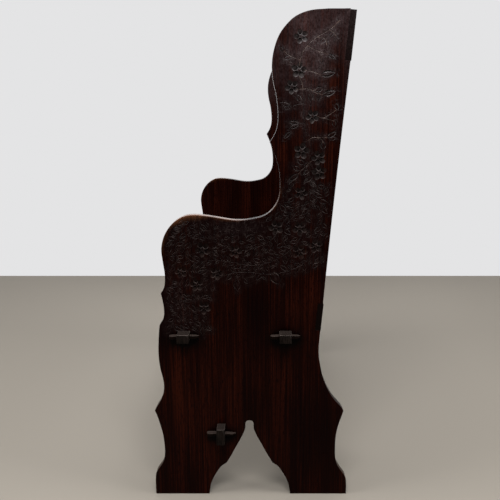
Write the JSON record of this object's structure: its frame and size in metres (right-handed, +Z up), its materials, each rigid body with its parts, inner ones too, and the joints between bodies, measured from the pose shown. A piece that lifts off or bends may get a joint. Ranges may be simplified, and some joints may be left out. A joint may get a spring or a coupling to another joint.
{
  "type": "settle bench",
  "caption": "High-backed oak settle with scrolled, carved end boards, seat and stretcher held by keyed through tenons, and a raked panelled back.",
  "frame": {"origin": "on the floor at the centre of the bounding box", "axes": "+X along the bench to the sitter's left, -Y to the front, +Z up"},
  "size_m": [1.11, 0.4954, 1.2],
  "materials": {
    "dark_oak": "dark stained and varnished oak, satin",
    "panel_oak": "dark stained oak panel, satin",
    "worn_oak": "dark oak, rubbed greyer on faces and end grain",
    "dark_steel": "dull darkened steel"
  },
  "bodies": {
    "frame": {"end_board_left": "dark_oak", "end_board_right": "dark_oak", "seat_board_front": "dark_oak", "seat_board_rear": "dark_oak", "stretcher": "dark_oak", "back_bottom_rail": "dark_oak", "back_top_rail": "dark_oak", "back_stile_1": "dark_oak", "back_muntin_2": "dark_oak", "back_muntin_3": "dark_oak", "back_stile_4": "dark_oak", "back_panel_1": "panel_oak", "back_panel_2": "panel_oak", "back_panel_3": "panel_oak", "peg_bottom_1": "worn_oak", "peg_bottom_2": "worn_oak", "peg_bottom_3": "worn_oak", "peg_bottom_4": "worn_oak", "peg_top_1": "worn_oak", "peg_top_2": "worn_oak", "peg_top_3": "worn_oak", "peg_top_4": "worn_oak", "screw_left_1": "dark_steel", "screw_left_2": "dark_steel", "screw_left_3": "dark_steel", "screw_left_4": "dark_steel", "screw_right_1": "dark_steel", "screw_right_2": "dark_steel", "screw_right_3": "dark_steel", "screw_right_4": "dark_steel"},
    "key_seat_front_left": {"key_seat_front_left": "worn_oak"},
    "key_seat_rear_left": {"key_seat_rear_left": "worn_oak"},
    "key_stretcher_left": {"key_stretcher_left": "worn_oak"},
    "key_seat_front_right": {"key_seat_front_right": "worn_oak"},
    "key_seat_rear_right": {"key_seat_rear_right": "worn_oak"},
    "key_stretcher_right": {"key_stretcher_right": "worn_oak"}
  },
  "joints": [
    {"name": "key_seat_front_left_slide", "type": "slide", "parent": "frame", "child": "key_seat_front_left", "axis": [0, -1, 0], "range_m": [0, 0.055]},
    {"name": "key_seat_rear_left_slide", "type": "slide", "parent": "frame", "child": "key_seat_rear_left", "axis": [0, -1, 0], "range_m": [0, 0.055]},
    {"name": "key_stretcher_left_slide", "type": "slide", "parent": "frame", "child": "key_stretcher_left", "axis": [0, -1, 0], "range_m": [0, 0.055]},
    {"name": "key_seat_front_right_slide", "type": "slide", "parent": "frame", "child": "key_seat_front_right", "axis": [0, -1, 0], "range_m": [0, 0.055]},
    {"name": "key_seat_rear_right_slide", "type": "slide", "parent": "frame", "child": "key_seat_rear_right", "axis": [0, -1, 0], "range_m": [0, 0.055]},
    {"name": "key_stretcher_right_slide", "type": "slide", "parent": "frame", "child": "key_stretcher_right", "axis": [0, -1, 0], "range_m": [0, 0.055]}
  ]
}
